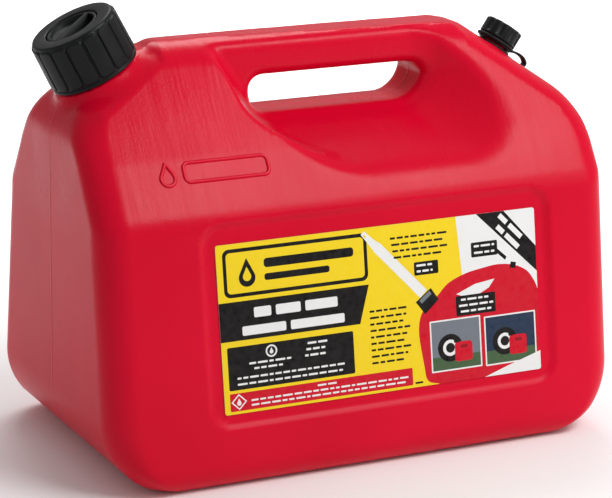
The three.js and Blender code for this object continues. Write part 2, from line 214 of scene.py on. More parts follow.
def form_distance(x, y, z):
    """Distance outside the can's plain form. Its level sections are rectangles with round corners."""
    flattest = 0.02                    # keeps the level distances finite where a face is level
    side, side_x, side_z = SIDE.measure(x, z)
    end, end_y, end_z = END.measure(np.abs(y), z)
    slant_x = np.maximum(np.abs(side_x), flattest)
    slant_y = np.maximum(np.abs(end_y), flattest)
    level_x = side / slant_x
    level_y = end / slant_y
    radius = np.clip(0.96 * np.interp(z, LEVELS, LEVEL_HALVES), 2, PLAN_RADIUS)
    past_x = np.maximum(level_x + radius, 0)
    past_y = np.maximum(level_y + radius, 0)
    length = np.hypot(past_x, past_y)
    value = np.minimum(np.maximum(level_x, level_y), -radius) + length
    deep = length < 1e-6
    share_x = np.where(deep, level_x > level_y, past_x / np.maximum(length, 1e-6)) / slant_x
    share_y = np.where(deep, level_x <= level_y, past_y / np.maximum(length, 1e-6)) / slant_y
    steepness = share_x ** 2 + share_y ** 2 + 2 * share_x * share_y * side_z * end_z
    return value / np.sqrt(steepness)


def scoop_section(x, z, reach):
    """Distance outside the scoop's air, in the upright section at a distance from the middle plane."""
    share = np.clip((reach - GRIP_HALF) / (SCOOP_OUTER_Y - GRIP_HALF), -0.3, 1.4)
    left, right, floor, lean, left_radius, right_radius = (
        inner + (outer - inner) * share for inner, outer in zip(SCOOP_INNER, SCOOP_OUTER))
    lean = np.clip(lean, 0, 1)
    stretch = np.hypot(1, lean)
    left_wall = (left - lean * (z - floor) - x) / stretch
    left_end = round_join(left_wall, floor - z, left_radius, lean / stretch)
    return np.maximum(left_end, round_join(x - right, floor - z, right_radius))


def hand_distance(x, y, z):
    """Distance outside the air of the hand hole and the scoops beside the grip."""
    reach = np.abs(y)
    step = 1.0
    slope = (scoop_section(x, z, reach + step) - scoop_section(x, z, reach - step)) / (2 * step)
    scoop = scoop_section(x, z, reach) / np.hypot(1, slope)
    scoop = round_join(scoop, GRIP_HALF - reach, SCOOP_FILLET)
    hole = np.maximum(HOLE.measure(x, z)[0], reach - HOLE_REACH)
    return -smooth_max(-scoop, -hole, GRIP_EDGE)


def panel_recess(x, y, z):
    """How deep the label panels are sunk below the front and back walls."""
    along = np.where(y < 0, x, -x)
    up = math.sin(SIDE_LEAN) * (HALF_WIDTH - np.abs(y)) + math.cos(SIDE_LEAN) * z
    return PANEL_DEPTH * smooth_step(0.5 - PANEL.measure(along, up)[0] / PANEL_SLOPE)


def boss_distance(x, y, z, place, neck):
    """Distance outside the cone under a neck."""
    local = np.stack([x, y, z], -1) - np.array(place.translation)
    local = local @ np.array(place.to_3x3())
    across = np.hypot(local[..., 0], local[..., 1])
    fall = Vector((neck["boss_height"] + BOSS_SUNK, neck["boss_foot"] - neck["boss"])).normalized()
    top = local[..., 2] - neck["boss_height"]
    flank = (across - neck["boss"]) * fall.x + top * fall.y
    return round_join(round_join(flank, top, 1.5, fall.y), -BOSS_SUNK - local[..., 2], BOSS_FOOT_RADIUS)


def joint_place(name):
    """The frame of a turning cap: its centre on the body, in millimetres, with Z along its axis."""
    joint = next(joint for joint in frame["joints"] if joint["name"] == name)
    turn = Vector((0, 0, 1)).rotation_difference(Vector(joint["axis"])).to_matrix().to_4x4()
    return Matrix.Translation(Vector(joint["pos_m"]) / MM) @ turn


NECK_PLACE = joint_place("ring_turn")
VENT_PLACE = joint_place("vent_turn")


def body_distance(x, y, z, crease):
    """Distance outside the can, without its bosses and necks. crease is the blend along the scoop's rim."""
    form = form_distance(x, y, z) + panel_recess(x, y, z)
    return smooth_max(form, -hand_distance(x, y, z), crease)


def outer_distance(x, y, z):
    """Distance outside the can, without its necks."""
    can = body_distance(x, y, z, CREASE)
    for place, neck, blend in ((NECK_PLACE, NECK, NECK_BLEND), (VENT_PLACE, VENT, VENT_BLEND)):
        can = -smooth_max(-can, -boss_distance(x, y, z, place, neck), blend)
    return can


def inner_distance(x, y, z):
    """Distance outside the can's hollow."""
    return body_distance(x, y, z, INNER_CREASE) + WALL


# ------------------------ meshes from distances

def gradient(distance, points):
    """How a distance changes along X, Y and Z at each point."""
    step = 0.3
    parts = []
    for axis in range(3):
        shift = np.zeros(3)
        shift[axis] = step
        parts.append(distance(*(points + shift).T) - distance(*(points - shift).T))
    return np.stack(parts, -1) / (2 * step)


def settle(distance, points, rounds):
    """Moves points onto the surface where a distance is 0."""
    least_slope, longest_move = 0.05, 1.5      # slope squared, and millimetres in a round
    for _ in range(rounds):
        slope = gradient(distance, points)
        steep = np.maximum((slope ** 2).sum(-1), least_slope)
        move = slope * (distance(*points.T) / steep)[:, None]
        length = np.maximum(np.linalg.norm(move, axis=1), 1e-9)
        points = points - move * np.minimum(1, longest_move / length)[:, None]
    return points


def surface(distance, low, high, cell):
    """A closed mesh of quads on the surface where a distance is 0, one point to each cell that it crosses."""
    counts = np.ceil((np.array(high) - low) / cell).astype(int) + 1
    axes = [low[axis] + cell * np.arange(counts[axis]) for axis in range(3)]
    value = distance(*np.meshgrid(*axes, indexing="ij"))
    total = np.zeros((*counts, 3))
    number = np.zeros(counts)
    quads = []
    for axis in range(3):
        others = [other for other in range(3) if other != axis]
        length = counts[axis]
        near = np.take(value, range(length - 1), axis)
        far = np.take(value, range(1, length), axis)
        start = np.argwhere((near < 0) != (far < 0))
        before, after = near[tuple(start.T)], far[tuple(start.T)]
        point = np.array(low) + cell * start
        point[:, axis] += cell * before / (before - after)
        corners = []
        for back in ((0, 0), (1, 0), (1, 1), (0, 1)):
            touched = start.copy()
            touched[:, others] -= back
            np.add.at(total, tuple(touched.T), point)
            np.add.at(number, tuple(touched.T), 1)
            corners.append(np.ravel_multi_index(tuple(touched.T), tuple(counts)))
        corners = np.stack(corners, -1)
        outward = (before < 0) != (axis == 1)
        quads.append(np.where(outward[:, None], corners, corners[:, ::-1]))
    used = np.flatnonzero(number.ravel())
    index = np.zeros(number.size, int)
    index[used] = np.arange(len(used))
    points = total.reshape(-1, 3)[used] / number.ravel()[used][:, None]
    quads = index[np.concatenate(quads)]
    return relax(distance, points, quads), quads


def relax(distance, points, quads):
    """Evens out the points along the surface."""
    for _ in range(3):
        points = settle(distance, points, 2)
        total = np.zeros_like(points)
        number = np.zeros(len(points))
        for corner in range(4):
            for step in (1, 3):
                np.add.at(total, quads[:, corner], points[quads[:, (corner + step) % 4]])
                np.add.at(number, quads[:, corner], 1)
        points = points * 0.5 + total / number[:, None] * 0.5
    return settle(distance, points, 5)


# ------------------------ meshes from profiles

AXIS = 0.02                            # a turned solid's points on its axis stand this far off it


def soften(corners, steps=4):
    """An outline of (u, v, radius) corners, with each corner turned into an arc."""
    count = len(corners)
    points = []
    for i, (u, v, radius) in enumerate(corners):
        corner = Vector((u, v))
        if radius == 0:
            points.append((u, v))
            continue
        back = (Vector(corners[i - 1][:2]) - corner).normalized()
        ahead = (Vector(corners[(i + 1) % count][:2]) - corner).normalized()
        half = back.angle(ahead) / 2
        centre = corner + (back + ahead).normalized() * radius / math.sin(half)
        start = corner + back * radius / math.tan(half) - centre
        finish = corner + ahead * radius / math.tan(half) - centre
        turn = math.atan2(start.x * finish.y - start.y * finish.x, start.dot(finish))
        for step in range(steps + 1):
            point = Matrix.Rotation(turn * step / steps, 2) @ start + centre
            points.append((point.x, point.y))
    return points


def box(left, low, right, high, radius=0.0, steps=6):
    """A rectangle with round corners."""
    return soften(rectangle(left, low, right, high, radius), steps)


def drop(u, v, height):
    """A liquid drop on its round end, centred on (u, v)."""
    radius = height * 0.31
    centre = v - height / 2 + radius
    arc = [(u + radius * math.cos(angle), centre + radius * math.sin(angle))
           for angle in (math.radians(150 + 240 * i / 20) for i in range(21))]
    return arc + [(u, v + height / 2)]


def between(start, end, pieces):
    """Points from start towards end, without the end itself."""
    return [(start[0] + (end[0] - start[0]) * i / pieces, start[1] + (end[1] - start[1]) * i / pieces)
            for i in range(pieces)]


def grid_faces(rows, count, loop=True):
    """Quads between closed rows of count points. A loop joins the last row to the first."""
    faces = []
    for i in range(rows if loop else rows - 1):
        here, ahead = i * count, (i + 1) % rows * count
        for j in range(count):
            up = (j + 1) % count
            faces.append((here + j, ahead + j, ahead + up, here + up))
    return faces


def revolve(profile, angles, shape=None):
    """A closed (radius, height) profile turned about Z. shape(angle, radius, height) gives a new radius."""
    points = []
    for angle in angles:
        for radius, height in profile:
            if shape:
                radius = shape(angle, radius, height)
            points.append((radius * math.cos(angle), radius * math.sin(angle), height))
    return np.array(points), grid_faces(len(angles), len(profile))


def turns(count):
    """Evenly spaced angles round a circle."""
    return [2 * math.pi * i / count for i in range(count)]


def sweep(sections, loop=False):
    """A solid through equal closed sections of points: a closed loop, or with flat ends."""
    rows, count = len(sections), len(sections[0])
    points = [point for section in sections for point in section]
    faces = [(a, d, c, b) for a, b, c, d in grid_faces(rows, count, loop)]
    if not loop:
        faces.append(tuple(range(count - 1, -1, -1)))
        faces.append(tuple((rows - 1) * count + j for j in range(count)))
    return np.array(points), faces


def thread(wall, crest, pitch, turn_count, start):
    """A helical ridge from a wall to a crest, with tapered ends."""
    steps_a_turn = 64
    steps = round(turn_count * steps_a_turn)
    fade = steps_a_turn // 6
    sunk = wall - 0.5 * math.copysign(1, crest - wall)
    sections = []
    for i in range(steps + 1):
        angle = 2 * math.pi * i / steps_a_turn
        height = start + pitch * i / steps_a_turn
        rise = wall + (crest - wall) * min(1, 0.1 + min(i, steps - i) / fade)
        outline = [(sunk, -0.32), (sunk, 0.32), (rise - (rise - wall) * 0.15, 0.17), (rise, 0.1),
                   (rise, -0.1), (rise - (rise - wall) * 0.15, -0.17)]
        sections.append([(radius * math.cos(angle), radius * math.sin(angle), height + up * pitch)
                         for radius, up in outline])
    return sweep(sections)


# ------------------------ Blender objects

def new_object(name, data):
    """An object of this data, in the scene."""
    obj = bpy.data.objects.new(name, data)
    bpy.context.scene.collection.objects.link(obj)
    return obj


def mesh_object(name, shape, place=Matrix()):
    """An object of points and faces in millimetres, put in place and turned into metres."""
    points, faces = shape
    mesh = bpy.data.meshes.new(name)
    mesh.from_pydata([tuple(point) for point in points], [], [tuple(int(i) for i in face) for face in faces])
    mesh.transform(Matrix.Scale(MM, 4) @ place)
    work = bmesh.new()
    work.from_mesh(mesh)
    bmesh.ops.remove_doubles(work, verts=work.verts, dist=1e-7)
    bmesh.ops.recalc_face_normals(work, faces=work.faces)
    work.to_mesh(mesh)
    work.free()
    return new_object(name, mesh)


def combine(obj, tools, operation):
    """Joins tools to an object, or cuts them from it, and removes them."""
    for tool in tools:
        modifier = obj.modifiers.new("combine", "BOOLEAN")
        modifier.operation = operation
        modifier.object = tool
        modifier.solver = "MANIFOLD"
    mesh = bpy.data.meshes.new_from_object(obj.evaluated_get(bpy.context.evaluated_depsgraph_get()))
    obj.modifiers.clear()
    obj.data = mesh
    for tool in tools:
        bpy.data.objects.remove(tool)


def read(items, name, width=1, kind=float):
    """One property of many mesh items, as rows of width numbers."""
    values = np.empty(len(items) * width, kind)
    items.foreach_get(name, values)
    return values.reshape(-1, width) if width > 1 else values


def follow_distance(mesh, distance):
    """Shades a mesh by the slope of the distance that it was made from, where its faces agree with it."""
    reach, agreement = 0.2, 0.6        # millimetres from the surface, and cosine to the face
    points = read(mesh.vertices, "co", 3) / MM
    normals = gradient(distance, points)
    normals /= np.linalg.norm(normals, axis=1)[:, None]
    corners = read(mesh.loops, "vertex_index", kind=int)
    sizes = read(mesh.polygons, "loop_total", kind=int)
    facing = np.repeat(read(mesh.polygons, "normal", 3), sizes, axis=0)
    shading = normals[corners]
    off_surface = np.abs(distance(*points.T)) > reach
    shading[off_surface[corners] | ((facing * shading).sum(-1) < agreement)] = 0
    mesh.normals_split_custom_set(shading)


def finish_piece(obj, body, nodes, slot, smooth_angle):
    """Gives a piece its material and its place in the frame. One that bends between bodies has no body."""
    obj.data.materials.clear()
    obj.data.materials.append(MATERIALS[slot])
    obj.data.shade_smooth()
    obj.data.set_sharp_from_angle(angle=math.radians(smooth_angle))
    if body:
        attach(obj, body)
    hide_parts(*nodes)


# ------------------------ materials

MIX_FIRST, MIX_SECOND, MIX_RESULT = 6, 7, 2    # a mix node's colour sockets share their names with others


def feed(material, node, inputs):
    """Sets a node's inputs. Each is a fixed value, or another node's output to link."""
    for name, value in inputs.items():
        if isinstance(value, bpy.types.NodeSocket):
            material.node_tree.links.new(value, node.inputs[name])
        else:
            node.inputs[name].default_value = value


def add_node(material, kind, **inputs):
    """A new node of a kind. An underscore stands for a space in the name of an input."""
    node = material.node_tree.nodes.new("ShaderNode" + kind)
    feed(material, node, {name.replace("_", " "): value for name, value in inputs.items()})
    return node


def connect(material, **inputs):
    """Sets inputs of the material's shader."""
    shader = material.node_tree.nodes["Principled BSDF"]
    feed(material, shader, {name.replace("_", " "): value for name, value in inputs.items()})


def new_material(name, roughness, **inputs):
    """A material whose shader has fixed values."""
    material = bpy.data.materials.new(name)
    material.use_nodes = True
    connect(material, Roughness=roughness, **inputs)
    return material


def noise(material, stretch, detail):
    """A noise texture in the object's own space, in metres. stretch is cycles a metre along X, Y and Z."""
    place = add_node(material, "TexCoord")
    scale = add_node(material, "Mapping", Vector=place.outputs["Object"], Scale=stretch)
    texture = add_node(material, "TexNoise", Vector=scale.outputs["Vector"], Scale=1, Detail=detail)
    return texture.outputs["Fac"]


def spread_range(material, value, low, high, start=0.3, end=0.7):
    """Maps a noise value to a range of numbers."""
    node = add_node(material, "MapRange", Value=value, From_Min=start, From_Max=end, To_Min=low, To_Max=high)
    return node.outputs["Result"]


def mix_colors(material, share, first, second):
    """A colour between two, by a share. Each may be a colour or another node's output."""
    node = add_node(material, "Mix")
    node.data_type = "RGBA"
    first, second = ((*color, 1) if isinstance(color, tuple) else color for color in (first, second))
    feed(material, node, {"Factor": share, MIX_FIRST: first, MIX_SECOND: second})
    return node.outputs[MIX_RESULT]


def bump(material, height, distance, strength, base=None):
    """A bump of a height value, on top of an earlier bump if there is one."""
    earlier = {"Normal": base} if base else {}
    node = add_node(material, "Bump", Strength=strength, Distance=distance, Height=height, **earlier)
    return node.outputs["Normal"]


def coordinate(material, axis):
    """The object's own X, Y or Z, in metres."""
    place = add_node(material, "TexCoord")
    return add_node(material, "SeparateXYZ", Vector=place.outputs["Object"]).outputs[axis]


def calculate(material, operation, *values):
    """The result of a sum on one or two node outputs."""
    node = add_node(material, "Math")
    node.operation = operation
    feed(material, node, dict(enumerate(values)))
    return node.outputs["Value"]


def parting_line(material):
    """A height that rises along the middle plane, where the mould's halves met."""
    aside = calculate(material, "ABSOLUTE", coordinate(material, "Y"))
    return spread_range(material, aside, 1, 0, 0.0002, 0.0009)


def red_plastic():
    """Blow-moulded polyethylene: satin, with fine grain, faint mottling, and streaks on the shoulders."""
    material = new_material("red_polyethylene", 0.34, Specular_IOR_Level=0.12)
    cloud = noise(material, (9, 9, 9), 2)
    grain = noise(material, (800, 800, 800), 3)
    waves = noise(material, (30, 30, 30), 1)
    shoulders = spread_range(material, coordinate(material, "Z"), 0, 1, 0.14, 0.175)
    patches = spread_range(material, noise(material, (16, 16, 16), 2), 0.25, 1)
    streaks = calculate(material, "MULTIPLY", noise(material, (190, 30, 11), 7), shoulders)
    streaks = calculate(material, "MULTIPLY", streaks, patches)
    color = mix_colors(material, spread_range(material, cloud, 0, 1),
                       (0.58, 0.0010, 0.019), (0.65, 0.0016, 0.025))
    rough = spread_range(material, streaks, 0.34, 0.18, 0, 0.55)
    normal = None
    for height, distance, strength in ((streaks, 0.0006, 0.7), (grain, 0.00012, 0.6), (waves, 0.0008, 0.25),
                                       (parting_line(material), 0.0003, 1)):
        normal = bump(material, height, distance, strength, normal)
    connect(material, Base_Color=color, Roughness=rough, Normal=normal)
    return material


def plain_material(name, clouds, grain, depth, colors, roughness, **fixed):
    """Plastic or rubber with one cloudy noise between two colours and roughnesses, and a bump of fine grain.

    clouds and grain are each a noise's cycles a metre and detail. depth is the bump's distance and strength.
    """
    material = new_material(name, sum(roughness) / 2, **fixed)
    cloud = noise(material, (clouds[0],) * 3, clouds[1])
    normal = bump(material, noise(material, (grain[0],) * 3, grain[1]), *depth)
    connect(material, Base_Color=mix_colors(material, spread_range(material, cloud, 0, 1), *colors),
            Roughness=spread_range(material, cloud, *roughness), Normal=normal)
    return material


def black_plastic(name, color, smooth, rough):
    """Injection-moulded black plastic with a fine spark-eroded grain and scuffs."""
    colors = color, tuple(channel * 1.5 for channel in color)
    return plain_material(name, (90, 4), (1500, 2), (0.00006, 0.6), colors, (smooth, rough),
                          Specular_IOR_Level=0.2)


def printed_film():
    """The label's film: its inks come from the mesh's ink colours."""
    material = new_material("printed_film", 0.3, Specular_IOR_Level=0.12)
    inks = add_node(material, "VertexColor")
    inks.layer_name = "ink"
    mottle = noise(material, (260, 260, 260), 4)
    worn = mix_colors(material, spread_range(material, mottle, 0.0, 0.012),
                      inks.outputs["Color"], (0.9, 0.88, 0.85))
    ripple = noise(material, (35, 35, 35), 2)
    connect(material, Base_Color=worn, Roughness=spread_range(material, mottle, 0.26, 0.36),
            Normal=bump(material, ripple, 0.0004, 0.3))
    return material


MATERIALS = {
    "can_body": red_plastic(),
    "black_plastic": black_plastic("black_polypropylene", (0.004, 0.0045, 0.0048), 0.34, 0.5),
    "soft_black_plastic": black_plastic("soft_black_polyethylene", (0.008, 0.0085, 0.009), 0.44, 0.6),
    "natural_spout": plain_material("natural_polyethylene", (40, 3), (1100, 2), (0.00004, 0.5),
                                    ((0.70, 0.69, 0.62), (0.78, 0.77, 0.71)), (0.36, 0.48)),
    "seal_rubber": plain_material("nitrile_rubber", (2200, 2), (2200, 2), (0.00005, 0.6),
                                  ((0.018, 0.018, 0.019), (0.035, 0.034, 0.033)), (0.68, 0.82)),
    "printed_label": printed_film(),
}


# ------------------------ the body

def neck_tube(neck, lip_radius):
    """A neck's outside as a solid plug, with a rounded lip."""
    foot = -BOSS_SUNK + 2
    return revolve(soften([
        (AXIS, foot, 0), (neck["root"], foot, 0), (neck["root"], neck["height"], lip_radius),
        (AXIS, neck["height"], 0),
    ]), turns(96))


def bore_tool(neck):
    """What is cut out of a neck: its bore, with a flared mouth."""
    flare, foot = 0.6, -BOSS_SUNK - 6
    return revolve([
        (AXIS, foot), (neck["bore"], foot), (neck["bore"], neck["height"] - flare),
        (neck["bore"] + flare + 1, neck["height"] + 1), (AXIS, neck["height"] + 1),
    ], turns(96))


def even(outline, spacing):
    """The closed outline as points at an even spacing."""
    ends = np.array(outline + outline[:1])
    run = np.concatenate([[0], np.cumsum(np.linalg.norm(np.diff(ends, axis=0), axis=1))])
    stops = np.linspace(0, run[-1], math.ceil(run[-1] / spacing), endpoint=False)
    return np.stack([np.interp(stops, run, ends[:, 0]), np.interp(stops, run, ends[:, 1])], -1)


def raised_line(outline):
    """A rounded ridge that stands out of the near shoulder along a closed outline."""
    half, rise, sunk = EMBLEM_HALF, EMBLEM_RISE, -1.2
    section = [(-half, sunk), (-half, -0.1), (-0.7 * half, 0.7 * rise), (-0.3 * half, rise),
               (0.3 * half, rise), (0.7 * half, 0.7 * rise), (half, -0.1), (half, sunk)]
    flat = even(outline, 0.9)
    points = np.array(EMBLEM_PLACE) + flat[:, :1] * np.array((1, 0, 0)) + flat[:, 1:] * np.array(EMBLEM_UP)
    points = settle(outer_distance, points, 12)
    out = gradient(outer_distance, points)
    out /= np.linalg.norm(out, axis=1)[:, None]
    along = np.roll(points, -1, 0) - np.roll(points, 1, 0)
    across = np.cross(along, out)
    across /= np.linalg.norm(across, axis=1)[:, None]
    sections = [[point + aside * u + normal * v for u, v in section]
                for point, aside, normal in zip(points, across, out)]
    return mesh_object("raised_line", sweep(sections, loop=True))


def can_shell():
    """The hollow body with its two threaded necks, and the emblem and empty frame on its near shoulder."""
    shell = mesh_object("can_shell", surface(outer_distance, GRID_LOW, GRID_HIGH, OUTER_CELL))
    hollow = mesh_object("hollow", surface(inner_distance, GRID_LOW, GRID_HIGH, INNER_CELL))
    joined, cut = [], [hollow]
    for place, neck, lip in ((NECK_PLACE, NECK, 0.8), (VENT_PLACE, VENT, 0.5)):
        joined.append(mesh_object("neck_plug", neck_tube(neck, lip), place))
        ridge = thread(neck["root"], neck["crest"], neck["pitch"], neck["turns"], neck["start"])
        joined.append(mesh_object("neck_thread", ridge, place))
        cut.append(mesh_object("bore", bore_tool(neck), place))
    joined.append(raised_line(box(-20, -6, 33, 6, 3.5)))
    joined.append(raised_line(drop(-30.5, 0, 14)))
    combine(shell, joined, "UNION")
    combine(shell, cut, "DIFFERENCE")
    finish_piece(shell, "can", ["can_body"], "can_body", 30)
    follow_distance(shell.data, outer_distance)


# ------------------------ the spout end

def spout_ring():
    """The screw ring: sixteen raised lands round a rounded cap, over a plain lip."""
    land_low, land_high, land_corner = 6.2, 32.2, 1.8
    land_half, land_radius = 4.55, 26.6    # half of a land's width, as an arc at this radius
    land_rise, land_edge = 1.1, 0.8
    lip_high, lip_rise = 5.0, 0.7
    across = [0, 1.6, 3.0, 3.7, 4.05, 4.35, 4.65, 4.95]    # mesh lines from a land's middle to its edge

    def raised(angle, radius, height):
        """The ring's radius with its lands. angle runs from the middle of a land."""
        if radius < RING_BORE + 0.5:
            return radius
        step = 2 * math.pi / RING_RIBS
        arc = abs((angle + step / 2) % step - step / 2) * radius
        over_u = arc - land_half + land_corner
        over_v = abs(height - (land_low + land_high) / 2) - (land_high - land_low) / 2 + land_corner
        outside = math.hypot(max(over_u, 0), max(over_v, 0)) + min(max(over_u, over_v), 0) - land_corner
        land = land_rise * float(smooth_step(0.5 - outside / land_edge))
        lip = lip_rise * float(smooth_step((lip_high - height) / 0.8 + 0.5))
        return radius + max(land, lip)

    angles = []
    for rib in range(RING_RIBS):
        middle = 2 * math.pi * rib / RING_RIBS
        angles += [middle - offset / land_radius for offset in reversed(across[1:])]
        angles += [middle + offset / land_radius for offset in across]
    outside = between((26.5, 3.6), (26.5, 8.6), 12) + between((26.5, 8.6), (26.1, 29.4), 6)
    outside += between((26.1, 29.4), (26, 32.6), 9)
    edge = soften([(26, 32.4, 0), (25.9, RING_TOP, 1.5), (20, RING_TOP, 0)], 7)[1:-1]
    inside = soften([
        (25.6, RING_TOP, 0), (RING_OPENING, RING_TOP, 0.7), (RING_OPENING, RING_LIP, 0.3),
        (RING_BORE, RING_LIP, 0.5), (RING_BORE, RING_LOW, 0.4), (26.3, RING_LOW, 0),
    ], 3)[1:]
    profile = outside + edge + inside
    ring = mesh_object("ring_grip", revolve(profile, angles, raised), NECK_PLACE)
    ridge = thread(RING_BORE, NECK["crest"] + 0.4, NECK["pitch"], NECK["turns"], NECK["start"] + 1)
    combine(ring, [mesh_object("ring_thread", ridge, NECK_PLACE)], "UNION")
    finish_piece(ring, "ring", ["spout_ring"], "black_plastic", 40)


def stopper():
    """The stopper: a flanged disc with a grip bar left between two pockets whose floors slope down to it."""
    disc, well, bar_half, depth, slope_rise = 16.2, 14.4, 1.1, 5.2, 3.6
    levels = ((-0.9, None), (-0.2, STOPPER_RIM - 0.5), (0.35, STOPPER_RIM + 0.1), (0.35, STOPPER_RIM + 3))
    body = mesh_object("stopper_cup", revolve(soften([
        (AXIS, STOPPER_LOW, 0), (FLANGE_RADIUS, STOPPER_LOW, 0.4), (FLANGE_RADIUS, STOPPER_TOP, 0.6),
        (disc, STOPPER_TOP, 0.4), (disc, STOPPER_RIM, 0.8), (AXIS, STOPPER_RIM, 0),
    ], 3), turns(96)), NECK_PLACE)
    reach = math.acos(bar_half / well)
    arc = [(well * math.cos(reach * i / 16), well * math.sin(reach * i / 16)) for i in range(-16, 17)]
    pockets = []
    for side in (0, math.pi):
        sections = []
        for grow, level in levels:
            section = []
            for u, v in arc:
                u, v = u * (1 + grow / well), v * (1 + grow / well)
                u = max(u, bar_half - grow)
                floor = STOPPER_RIM - depth + slope_rise * (u - bar_half) / (well - bar_half)
                section.append((u, v, floor if level is None else level))
            sections.append(section)
        turn = Matrix.Rotation(GRIP_TURN + math.pi / 2 + side, 4, "Z")
        pockets.append(mesh_object("pocket", sweep(sections), NECK_PLACE @ turn))
    combine(body, pockets, "DIFFERENCE")
    body.name = "stopper_plug"
    finish_piece(body, "stopper", ["stopper_disc"], "black_plastic", 30)


def washer(name, body, node, low):
    """A flat rubber ring with rounded edges and a shallow bead round its middle."""
    inner, outer, bead = SEAL_BORE, SEAL_RADIUS, 0.18
    middle, high = (inner + outer) / 2, low + SEAL_THICKNESS
    profile = soften([
        (inner, low, 0.45), (outer, low, 0.45), (outer, high - bead, 0.45), (middle + 0.9, high - bead, 0.2),
        (middle + 0.4, high, 0.15), (middle - 0.4, high, 0.15), (middle - 0.9, high - bead, 0.2),
        (inner, high - bead, 0.45),
    ], 3)
    seal = mesh_object(name, revolve(profile, turns(96)), NECK_PLACE)
    finish_piece(seal, body, [node], "seal_rubber", 50)


def pouring_spout():
    """The stowed spout: a flange, a plain throat, soft bellows and a tapered nozzle with a rolled tip."""
    root, tip, wall, length = 16.5, 9.5, 1.6, 190
    bellows_start, bellows_pitch, bellows_turns, bellows_depth, steps = 22, 9, 5, 3, 12
    bellows_top, end = FLANGE_LOW - bellows_start, FLANGE_LOW - length
    outside = []
    for i in range(bellows_turns * steps + 1):
        fold = bellows_depth * (0.5 - 0.5 * math.cos(2 * math.pi * i / steps))
        outside.append((root - fold, bellows_top - bellows_pitch * i / steps))
    outside.append((root - 1, bellows_top - bellows_pitch * bellows_turns - 10))
    profile = [(FLANGE_RADIUS, FLANGE_TOP - 0.6), (FLANGE_RADIUS - 0.4, FLANGE_TOP - 0.1),
               (FLANGE_RADIUS - 0.8, FLANGE_TOP), (root - wall + 0.6, FLANGE_TOP),
               (root - wall, FLANGE_TOP - 0.6)]
    profile += [(radius - wall, height) for radius, height in outside]
    profile += [(tip - wall, end + 1), (tip - wall + 0.5, end), (tip - 0.3, end), (tip + 0.3, end + 1),
                (tip + 0.3, end + 3.5), (tip, end + 5)]
    profile += reversed(outside)
    profile += [(root, FLANGE_LOW - 1), (root + 0.9, FLANGE_LOW), (FLANGE_RADIUS - 0.4, FLANGE_LOW),
                (FLANGE_RADIUS, FLANGE_LOW + 0.5)]
    spout = mesh_object("spout_tube", revolve(profile, turns(80)), NECK_PLACE)
    finish_piece(spout, "spout", ["pour_spout"], "natural_spout", 50)


# ------------------------ the vent end

def vent_top():
    """The vent cap: a plain skirt under a grip with ten shallow flutes."""
    flutes, flute_half, flute_depth, flute_low, flute_run = 10, 2.4, 0.95, 8.4, 1.2
    lid, bore, skirt, dish = 2.2, 9.6, 11.3, 9

    def fluted(angle, radius, height):
        """The cap's radius with its flutes."""
        if height < VENT_GRIP + 0.3 or radius < dish:
            return radius
        step = 2 * math.pi / flutes
        arc = abs(angle % step - step / 2) * radius
        start = float(smooth_step((height - flute_low) / flute_run))
        return radius - flute_depth * start * float(smooth_step(1.1 - arc / flute_half))

    profile = soften([
        (bore, VENT_LOW, 0.3), (skirt, VENT_LOW, 0.4), (skirt, VENT_GRIP, 0),
        (VENT_RADIUS, VENT_GRIP + 0.3, 0.3),
        *((VENT_RADIUS, flute_low + step, 0) for step in (0, flute_run / 2, flute_run)),
        (VENT_RADIUS, VENT_TOP, 1.3), (9.4, VENT_TOP, 0.3), (8.8, VENT_TOP - 0.5, 0.3),
        (AXIS, VENT_TOP - 0.5, 0), (AXIS, VENT_TOP - lid, 0), (bore, VENT_TOP - lid, 0.4),
    ], 4)
    cap = mesh_object("vent_top", revolve(profile, turns(200), fluted), VENT_PLACE)
    ridge = thread(bore, VENT["crest"] + 0.4, VENT["pitch"], 1.5, VENT["start"] + 1)
    combine(cap, [mesh_object("vent_thread", ridge, VENT_PLACE)], "UNION")
    finish_piece(cap, "vent", ["vent_cap"], "black_plastic", 40)


def vent_washer():
    """The pad inside the vent cap, with a shallow recess in its top."""
    low, radius, thickness, recess = 13.5, 8.6, 1.5, 0.25
    high = low + thickness
    profile = soften([
        (AXIS, low, 0), (radius, low, 0.4), (radius, high, 0.4), (6.4, high, 0.2),
        (6.1, high - recess, 0.2), (AXIS, high - recess, 0),
    ], 3)
    seal = mesh_object("vent_pad", revolve(profile, turns(72)), VENT_PLACE)
    finish_piece(seal, "vent_washer", ["vent_seal"], "seal_rubber", 50)


def smooth_path(points, steps):
    """A smooth open curve through points, with steps pieces between each two."""
    points = [Vector(point) for point in points]
    points = [2 * points[0] - points[1]] + points + [2 * points[-1] - points[-2]]
    path = []
    for i in range(1, len(points) - 2):
        before, start, end, after = points[i - 1:i + 3]
        for step in range(steps):
            t = step / steps
            path.append(0.5 * (2 * start + (end - before) * t
                               + (2 * before - 5 * start + 4 * end - after) * t * t
                               + (3 * start - 3 * end + after - before) * t ** 3))
    return path + [points[-2]]


# Inner and outer radius, underside and top of the ring round the neck and of the one round the cap.
STRAP_RINGS = (8.7, 11.4, 1.3, 3.0), (11.7, 13, 4.9, 6.6)
STRAP_ROUTE = [(12.4, 5.8), (17.5, 7.2), (22.5, 7), (26, 4.9), (25.2, 2.4), (20, 1.7), (14, 1.9), (10.4, 2.1)]


